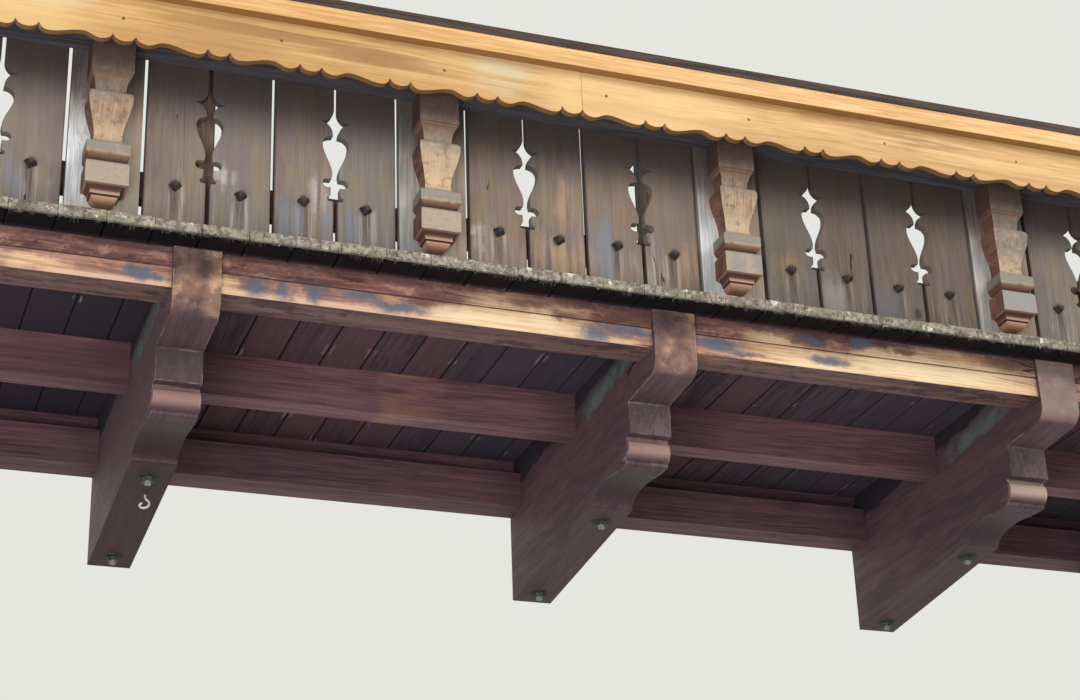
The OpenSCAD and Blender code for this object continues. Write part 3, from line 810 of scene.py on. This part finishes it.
# Pierced boards
# Spruce boards set upright on the deck, their facing edges sawn to the fretwork. They have weathered to
# grey-brown, with pale and blue-grey runs where rain drips from the bolt heads. Under the flower box they
# are darker, with a darker stain kept there and painted shade.
bay_count, boards_in_bay = 5, 4
post_x = [middle_of(f"carved_post_{k + 1}") for k in range(bay_count + 1)]
bay_w = post_x[1] - post_x[0]
board_w, board_t = 0.213, 0.030
backing_w = bay_w - boards_in_bay * board_w
first_board = post_x[0] + backing_w / 2
side_len = -boards_y - board_t
side_backing_w = (side_len - boards_in_bay * board_w) / 2
side_run = side_len - side_backing_w
head_up = 0.201


def weathered(name, boards, washes=(), shades=()):
    """Boards, each in its own tone, with a dark run under each bolt head.

    washes are pairs of a colour and the spots that rain has tinted with it, and shades are dark spots.
    """
    wood = timber(name, "Z", cracks=0.22, boards=boards)
    colour = grained(wood, "#72645a", "#8c7d72", 0.15, 0.85)
    colour = coat(
        wood, colour,
        ("#8d7461", 0.5, (wood.warmth, 0.2, 1.0)),
        ("#7e7a74", 0.5, (wood.chance, 0.2, 1.0)),
        ("#574b44", 0.5, (wood.patch, 0.46, 0.3)),
    )
    tint = add(wood.tree, "VectorMath", {0: wood.ragged, 1: (1.0, 1.0, 0.35)}, operation="MULTIPLY")
    tint = add(wood.tree, "TexNoise", {"Vector": tint, "Scale": 16.0, "Detail": 3.0})
    colour = coat(
        wood, colour,
        ("#8b7f60", 0.35, (tint, 0.52, 0.64)),
        ("#7b6f75", 0.35, (tint, 0.48, 0.37)),
    )

    low = (wood.up, 0.34, 0.04)
    bleached = add(wood.tree, "TexNoise", {"Vector": wood.run, "Scale": 48.0, "Detail": 3.0})
    cloud = add(wood.tree, "TexNoise", {"Vector": wood.place, "Scale": 11.0, "Detail": 3.0})
    colour = coat(
        wood, colour,
        ("#b4aca5", 0.45, low, (bleached, 0.5, 0.68), (cloud, 0.36, 0.6)),
        ("#62636e", 0.35, low, (bleached, 0.48, 0.36), (cloud, 0.4, 0.58)),
    )
    raised = (wood.up, 0.20, 0.02), (wood.x, -0.3, 0.2)
    colour = coat(
        wood, colour,
        ("#c0b8b0", 0.45, *raised, (wood.fibre, 0.54, 0.68)),
        ("#4a413d", 0.45, *raised, (wood.fibre, 0.46, 0.34)),
        # Painted shade under the flower box, over a darker stain kept there: darker towards the top.
        ("#342b2b", 0.85, (wood.up, 0.34, 0.60)),
    )

    below_head = (wood.up, head_up + 0.01, head_up - 0.015)
    colour = coat(
        wood, colour,
        ("#45372f", 0.75, (wood.edge, 0.10, 0.03), below_head, (wood.up, head_up - 0.17, head_up - 0.04),
         (wood.fibre, 0.3, 0.6)),
        ("#bdb4aa", 0.5, (wood.edge, 0.06, 0.09), (wood.edge, 0.15, 0.11), below_head,
         (wood.fibre, 0.35, 0.6)),
        ("#4b3a36", 0.6, (wood.edge, 0.43, 0.47)),
    )
    for finish, spots in washes:
        colour = stain(wood, colour, finish, 0.85, spots, 0.8, (bleached, 0.36, 0.56))
    colour = stain(wood, colour, "#473b32", 0.5, shades, 0.9)
    colour = coat(wood, colour, ("#40322c", 0.75, (wood.knot, 0.0, 1.0)))
    return surface(wood, colour, roughness=0.84, relief_mm=0.7, edge_mm=3.5)


washed_pale = [
    (-1.563, 0.566, 0.030, 0.030), (-1.243, 0.550, 0.024, 0.070), (-0.695, 0.504, 0.026, 0.022),
    (-0.688, 0.420, 0.010, 0.090), (-0.055, 0.420, 0.034, 0.110), (0.648, 0.425, 0.045, 0.080),
]
washed_blue = [
    (-2.232, 0.455, 0.030, 0.070), (-1.336, 0.460, 0.040, 0.085), (-1.218, 0.430, 0.018, 0.080),
    (-1.127, 0.450, 0.020, 0.080), (-0.232, 0.480, 0.060, 0.140), (0.850, 0.410, 0.050, 0.080),
]
washed_tan = [
    (0.082, 0.490, 0.036, 0.060), (0.461, 0.538, 0.045, 0.038), (-0.374, 0.640, 0.025, 0.090),
    (-0.500, 0.400, 0.030, 0.080), (-0.380, 0.440, 0.100, 0.060),
]
shaded = [(0.80, 0.58, 0.60, 0.46)]
front_washes = (("#7c828c", washed_blue), ("#b9b2ab", washed_pale), ("#ad9075", washed_tan))
front_boards = weathered("weathered_spruce_board", ("x", first_board, board_w, bay_w), front_washes, shaded)
side_boards = weathered("weathered_spruce_side_board", ("y", -side_run, board_w, endless))
for bay in range(bay_count):
    paint(front_boards, f"pierced_boards_{bay + 1}")
paint(side_boards, "side_boards_left", "side_boards_right")


# Bolt heads
# One forged iron head a board, hammered to a blunt point with four faces, where the board is bolted to the
# rail. It has rusted dark brown. Its upper faces are pale, partly from dust and rain and partly as painted
# light.
head_r, tip_r, head_t = 0.027, 0.012, 0.026
head_round, head_sunk = 0.006, 0.001


def forge_head(bm, place, outward):
    """Adds one bolt head on the face of a board."""
    head = bmesh.new()
    add_peg(head, 4, head_r, tip_r, head_t)
    bmesh.ops.bevel(head, geom=head.edges[:], offset=head_round, offset_type="OFFSET", segments=2,
                    profile=0.5, affect="EDGES", material=-1)
    tilt = Matrix.Rotation(random.uniform(-0.3, 0.3), 4, "Z")
    turn = outward.to_track_quat("Z", "Y").to_matrix().to_4x4()
    at = Matrix.Translation(place + outward * (head_t / 2 - head_sunk))
    bmesh.ops.transform(head, matrix=at @ turn @ tilt, verts=head.verts)
    join(head, bm)


head_z = deck_top + head_up
left_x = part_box("side_boards_left")[0].x
right_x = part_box("side_boards_right")[1].x
random.seed(5)
bm = bmesh.new()
for bay in range(bay_count):
    for k in range(boards_in_bay):
        x = first_board + bay_w * bay + board_w * (k + 0.5) + random.uniform(-0.006, 0.008)
        z = head_z + random.uniform(-0.008, 0.006)
        forge_head(bm, Vector((x, boards_y, z)), Vector((0, -1, 0)))
for k in range(boards_in_bay):
    y = board_w * (k + 0.5) - side_run
    for x, outward in ((left_x, (-1, 0, 0)), (right_x, (1, 0, 0))):
        z = head_z + random.uniform(-0.006, 0.006)
        forge_head(bm, Vector((x, y, z)), Vector(outward))
forged = metal(
    "rusted_forged_iron", "#1c1718", "#4b3d38", metallic=0.2, roughness=0.6, grit_mm=14.0, top="#85755c")
keep(bm, "board_bolts", forged, "board_wood")


# Backing boards
# The wider plain boards behind the carved posts. Rain that runs off the posts has washed them pale low
# down, on the left of each post.
def washed(name, boards, pale_at):
    """The finish of the backing boards. pale_at pairs each post's place with how pale they are beside it."""
    wood = timber(name, "Z", cracks=0.3, boards=boards)
    colour = grained(wood, "#72695f", "#9a9186", 0.15, 0.85)
    colour = coat(wood, colour, ("#8a7563", 0.5, (wood.across, 0.5, 0.6)))
    low = (wood.up, 0.52, 0.30)
    pale = coat(wood, "#dcdfdf", ("#ffffff", 1.0, (wood.fibre, 0.36, 0.62)))
    for x, amount in pale_at:
        colour = coat(
            wood, colour,
            (pale, amount, low, (wood.x, x - 0.14, x - 0.13), (wood.x, x, x - 0.05), (wood.patch, 0.1, 0.28),
             (wood.to_back, 0.4, -0.4)),
        )
    colour = coat(
        wood, colour,
        ("#b8a796", 0.5, low, (wood.across, 0.5, 0.55), (wood.patch, 0.4, 0.56)),
        ("#7c8a7e", 0.4, low, (wood.patch, 0.56, 0.66)),
        # Painted shade under the flower box, over a darker stain kept there: darker towards the top.
        ("#3d3635", 0.75, (wood.up, 0.40, 0.60)),
    )
    return surface(wood, colour, roughness=0.84, relief_mm=0.7, edge_mm=3.5)


front_bays = ("x", post_x[0] - 0.5 * bay_w, bay_w, endless)
side_bays = ("y", -0.5 * side_backing_w - 1.5 * side_run, side_run, endless)
pale_at = list(zip(post_x, (0.7, 0.97, 0.3, 0.85, 0.35, 0.4)))
paint(washed("washed_spruce_backing", front_bays, pale_at), "backing_boards")
paint(washed("washed_spruce_side_backing", side_bays, pale_at), "side_backing_left", "side_backing_right")


# Carved posts
# Half-posts carved from square spruce on three sides. Weather has taken the stain off the faces that look
# out, and left it in the coves and on the sheltered sides.
def carving(name, carved_from):
    """The finish of the half-posts whose front looks along one axis."""
    wood = timber(name, "Z", figure=0.08, cracks=0.0, boards=front_bays, sheets=(carved_from, 0.08))
    outward = wood.to_back if carved_from == "Y" else wood.to_right
    outward = add(wood.tree, "Math", {0: outward}, operation="ABSOLUTE")
    front = (outward, 0.55, 0.92)
    worn = grained(wood, "#977a60", "#c6ac8f", 0.15, 0.85)
    worn = coat(wood, worn, ("#a39d8c", 0.7, (wood.patch, 0.46, 0.6)))
    tones = (post_x[1], "#8a6e59", 0.4), (post_x[2], "#cfb593", 0.55), (post_x[4], "#7b6e64", 0.6)
    for x, tone, amount in tones:
        worn = coat(wood, worn, (tone, amount, (wood.x, x - 0.14, x - 0.12), (wood.x, x + 0.14, x + 0.12)))
    worn = coat(
        wood, worn,
        ("#85796d", 0.6, (wood.up, 0.385, 0.45)),
        ("#e0c195", 0.45, (wood.up, 0.38, 0.31)),
    )
    mottle = add(wood.tree, "TexNoise", {
        "Vector": wood.place, "Scale": 38.0, "Detail": 4.0, "Roughness": 0.6})
    worn = coat(
        wood, worn,
        ("#6d5747", 0.5, (mottle, 0.48, 0.36)),
        ("#cdb89f", 0.4, (mottle, 0.56, 0.68)),
    )
    kept = grained(wood, "#573a33", "#86604f")
    colour = coat(wood, kept, (worn, 1.0, front))
    colour = coat(
        wood, colour,
        # Painted light: faces that look down are paler.
        ("#b08d76", 0.7, (wood.to_top, -0.3, -0.75)),
        ("#8f9083", 0.8, (wood.to_top, 0.2, 0.6), (wood.patch, 0.35, 0.5)),
    )

    # From the torus down: its greyed crown, its foot darkened with painted shade, and the block with its
    # greyed face.
    block = front, (wood.up, 0.118, 0.122), (wood.up, 0.208, 0.198)
    greyest = (wood.x, post_x[4] - 0.15, post_x[4] - 0.13), (wood.x, post_x[4] + 0.15, post_x[4] + 0.13)
    colour = coat(
        wood, colour,
        ("#83837c", 0.85, (wood.up, 0.225, 0.240), (wood.up, 0.30, 0.27), (wood.patch, 0.26, 0.44)),
        ("#5c3b33", 0.8, (wood.up, 0.204, 0.208), (wood.up, 0.236, 0.222)),
        ("#a2978b", 0.75, *block),
        ("#7d828a", 0.5, *block, (wood.patch, 0.52, 0.62)),
        ("#8b9092", 0.65, *block, *greyest),
    )

    # Under the block: reddish wood, the hollow and the groove darkened with painted shade, the fillet between
    # them lit with a painted highlight, and a paler band on the drop. At the top, the painted shade of the
    # flower box.
    colour = coat(
        wood, colour,
        ("#80594a", 0.75, (wood.up, 0.119, 0.117)),
        ("#4a332b", 0.85, (wood.up, 0.119, 0.117), (wood.up, 0.104, 0.111)),
        ("#3d2a24", 0.85, (wood.up, 0.090, 0.092), (wood.up, 0.098, 0.095)),
        ("#d0b096", 0.7, front, (wood.up, 0.094, 0.096), (wood.up, 0.106, 0.101)),
        ("#cf9f84", 0.7, (wood.up, 0.068, 0.080), (wood.up, 0.092, 0.090)),
        ("#46332e", 0.85, (wood.up, 0.43, 0.58)),
    )
    return surface(wood, colour, roughness=0.74, relief_mm=0.6)


front_carving = carving("carved_spruce", "Y")
for k in range(bay_count + 1):
    paint(front_carving, f"carved_post_{k + 1}")
paint(carving("carved_spruce_side", "X"), "side_posts_left", "side_posts_right")


# Apron
# The front board of the flower box, in two lengths with a scalloped lower edge: newer spruce under honey
# varnish, which has worn to pale grey-green in places.
apron_joint, apron_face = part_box("apron_right")[0].xy
scallop_up = 0.609
two_lengths = ("x", apron_joint - endless / 10, endless / 10, endless)
wood = timber("honey_varnished_spruce", "X", figure=0.2, cracks=0.0, boards=two_lengths)
colour = grained(wood, "#c5985c", "#e3bb7e", 0.1, 0.85)
colour = coat(
    wood, colour,
    ("#b3854f", 0.7, (wood.patch, 0.54, 0.7)),
    ("#f0cf95", 0.6, (wood.x, -0.6, -0.3), (wood.x, 0.4, 0.0), (wood.patch, 0.5, 0.38)),
    ("#b0834b", 0.45, (wood.up, scallop_up + 0.08, scallop_up + 0.01)),
)
thin_varnish = [(-2.16, 1.05, 0.10, 0.05), (-0.66, 1.02, 0.10, 0.07), (-2.75, 1.0, 0.12, 0.05)]
streaked = [(-1.45, 1.04, 0.28, 0.05), (-1.10, 1.0, 0.20, 0.05), (0.95, 1.02, 0.20, 0.04)]
thick_varnish = [(-1.62, 0.985, 0.24, 0.07)]
colour = stain(wood, colour, "#cfc9a6", 0.7, thin_varnish, 0.7, (wood.streak, 0.3, 0.5))
colour = stain(wood, colour, "#9c7243", 0.85, streaked, 0.9, (wood.streak, 0.56, 0.44))
colour = stain(wood, colour, "#a87c4c", 0.6, thick_varnish, 0.7)
colour = coat(
    wood, colour,
    ("#f6d296", 0.5, (wood.x, -1.95, -2.2)),
    ("#f6d296", 0.4, (wood.x, -0.55, -0.4), (wood.x, 0.3, 0.0)),
    ("#7c5536", 0.85, (wood.knot, 0.0, 1.0)),
    # Painted shade: faces that look down are darker.
    ("#7d5a3c", 0.9, (wood.to_top, -0.2, -0.7)),
    ("#6f604f", 0.8, (wood.to_back, 0.4, 0.8)),
)
paint(surface(wood, colour, roughness=0.5, relief_mm=0.35, edge_mm=4.0), "apron_left", "apron_right")

# Nails
# Flat-headed wire nails of dull steel that hold the apron to the box, one over each carved post and one half
# way to the next.
nail_r, nail_t = 0.0055, 0.002
nail_up = 0.69
random.seed(3)
bm = bmesh.new()
for i in range(2 * bay_count + 1):
    x = post_x[0] + 0.5 * bay_w * i + random.uniform(-0.02, 0.03)
    z = deck_top + nail_up + random.uniform(-0.01, 0.01)
    at = Matrix.Translation((x, apron_face - 0.4 * nail_t, z)) @ Matrix.Rotation(math.pi / 2, 4, "X")
    add_peg(bm, 16, nail_r, nail_r - 0.0013, nail_t, at)
nail_finish = metal("dull_wire_nail", "#4a4440", "#7d756c", metallic=0.7, roughness=0.5, grit_mm=5.0)
keep(bm, "apron_nails", nail_finish, "apron_wood")

# Strip and ends
# A thicker strip of the same varnished spruce is nailed along the top of the apron, where it stands proud,
# and short boards close the ends of the box.
wood = timber("honey_varnished_strip", "X", figure=0.15, cracks=0.0)
colour = grained(wood, "#cc9a5c", "#edc183", 0.1, 0.85)
colour = coat(
    wood, colour,
    ("#b98650", 0.6, (wood.patch, 0.56, 0.7)),
    # Painted shade: faces that look down are darker.
    ("#8a6038", 0.9, (wood.to_top, -0.2, -0.7)),
)
paint(surface(wood, colour, roughness=0.5, relief_mm=0.35, edge_mm=4.0), "box_strip", "box_ends")

# Rim
# A capping of planed spruce, stained dark brown, that is nailed on the top edges of the box and keeps the
# rain off them.
paint(framing("dark_stained_rim", "X", "#2c1f1b", "#4d3a32"), "box_rim")

# Trough
# The bottom and the back of the box: rough-sawn spruce boards, nailed together and gone blue-grey with
# damp.
wood = timber("damp_spruce_box", "X")
colour = grained(wood, "#3a373c", "#57545a")
colour = coat(wood, colour, ("#5d5f66", 0.6, (wood.patch, 0.55, 0.7)))
paint(surface(wood, colour, roughness=0.86, relief_mm=0.9), "box_bottom", "box_back")
